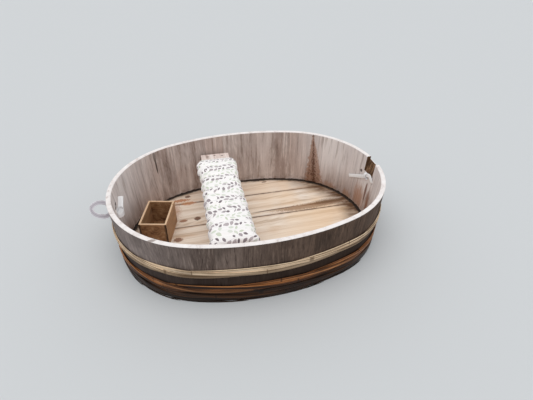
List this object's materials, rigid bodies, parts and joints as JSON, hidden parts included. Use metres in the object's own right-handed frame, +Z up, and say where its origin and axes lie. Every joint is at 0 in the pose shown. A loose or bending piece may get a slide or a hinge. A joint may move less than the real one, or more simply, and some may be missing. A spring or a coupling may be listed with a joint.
{
  "type": "oval wooden tub boat",
  "caption": "Flat-bottomed oval boat of upright cedar staves bound with bamboo hoops, with a padded cross bench, an open box and webbing handles.",
  "frame": {"origin": "centre of the oval on the plane of the staves' feet, which is the lowest point", "axes": "+X along the boat towards the end with the oar notch, +Y athwart to the far side of the picture, +Z up"},
  "size_m": [2.0268, 1.3394, 0.54],
  "materials": {
    "staves": "weathered cedar, grey and brown, worn pale along the rim",
    "planks": "worn cedar planks, warm and stained",
    "bamboo_pale": "split bamboo, dry and pale",
    "bamboo_wet": "split bamboo, damp and brown",
    "webbing": "white woven webbing, dirty at its folds",
    "bench_wood": "bare pale board",
    "printed_cloth": "white cotton with a print of small sprigs",
    "box_wood": "brown plywood with paler edges"
  },
  "bodies": {
    "root": {"stave_bow_01": "staves", "stave_bow_02": "staves", "stave_bow_03": "staves", "stave_bow_04": "staves", "stave_bow_05": "staves", "stave_bow_06": "staves", "stave_bow_07": "staves", "stave_bow_08": "staves", "stave_bow_09": "staves", "stave_bow_10": "staves", "stave_bow_11": "staves", "stave_far_01": "staves", "stave_far_02": "staves", "stave_far_03": "staves", "stave_far_04": "staves", "stave_far_05": "staves", "stave_far_06": "staves", "stave_far_07": "staves", "stave_stern_01": "staves", "stave_stern_02": "staves", "stave_stern_03": "staves", "stave_stern_04": "staves", "stave_stern_05": "staves", "stave_stern_06": "staves", "stave_stern_07": "staves", "stave_stern_08": "staves", "stave_stern_09": "staves", "stave_stern_10": "staves", "stave_stern_11": "staves", "stave_near_01": "staves", "stave_near_02": "staves", "stave_near_03": "staves", "stave_near_04": "staves", "stave_near_05": "staves", "stave_near_06": "staves", "stave_near_07": "staves", "bottom_plank_1": "planks", "bottom_plank_2": "planks", "bottom_plank_3": "planks", "bottom_plank_4": "planks", "bottom_plank_5": "planks", "hoop_upper": "bamboo_pale", "hoop_middle": "bamboo_wet", "hoop_lower": "bamboo_wet", "hoop_foot": "bamboo_wet", "strap_bow": "webbing", "strap_bow_knot": "webbing", "strap_stern": "webbing", "strap_stern_knot": "webbing", "bench_board": "bench_wood", "bench_leg_far": "bench_wood", "bench_leg_near": "bench_wood", "bench_pad": "printed_cloth", "box_end_near": "box_wood", "box_end_far": "box_wood", "box_side_left": "box_wood", "box_side_right": "box_wood", "box_bottom": "box_wood"}
  },
  "joints": []
}
